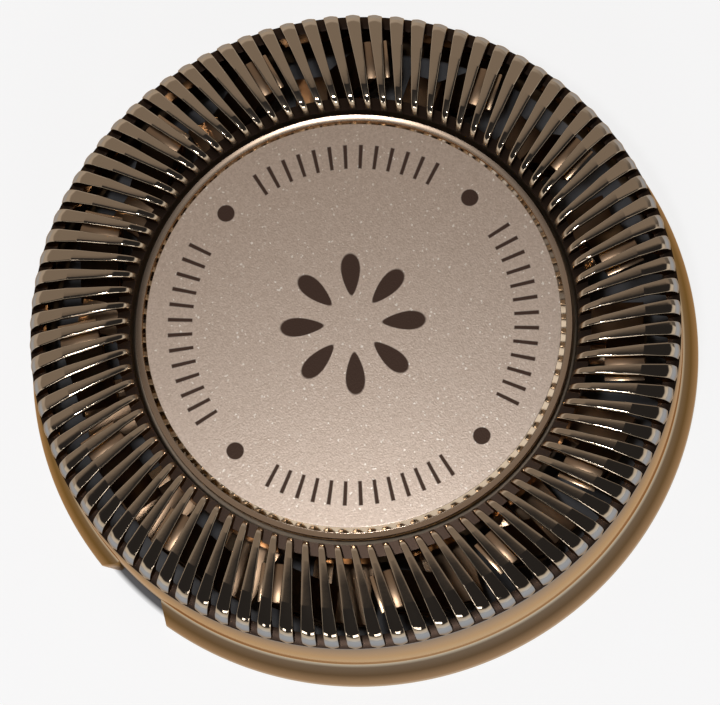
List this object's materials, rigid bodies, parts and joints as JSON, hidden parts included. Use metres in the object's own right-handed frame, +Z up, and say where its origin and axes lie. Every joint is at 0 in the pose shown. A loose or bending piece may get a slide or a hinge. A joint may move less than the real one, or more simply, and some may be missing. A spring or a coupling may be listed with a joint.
{
  "type": "rotary shaver head",
  "caption": "Round shaver head: a slotted steel guard with a metal face plate, and a ring of lifting blades that turns inside it on a drive socket.",
  "frame": {"origin": "middle of the circle that the guard's rim stands on", "axes": "+Z up along the cutter's axis, out through the face plate; the two rim notches lie on -Y and +Y"},
  "size_m": [0.0234, 0.0232, 0.0052],
  "materials": {
    "guard_steel": "polished drawn steel",
    "plate_aluminium": "satin champagne anodised",
    "plug_plastic": "moulded",
    "cutter_steel": "ground steel",
    "spring_steel": "rolled spring steel",
    "carrier_plastic": "moulded"
  },
  "bodies": {
    "guard_unit": {"guard": "guard_steel", "face_plate": "plate_aluminium", "bearing_plug": "plug_plastic"},
    "cutter_unit": {"drive_carrier": "carrier_plastic", "cutter_ring": "cutter_steel", "lifter_ring": "spring_steel"}
  },
  "joints": [
    {"name": "cutter_spin", "type": "hinge", "parent": "guard_unit", "child": "cutter_unit", "pos_m": [0, 0, 0.003], "axis": [0, 0, 1], "continuous": true}
  ]
}
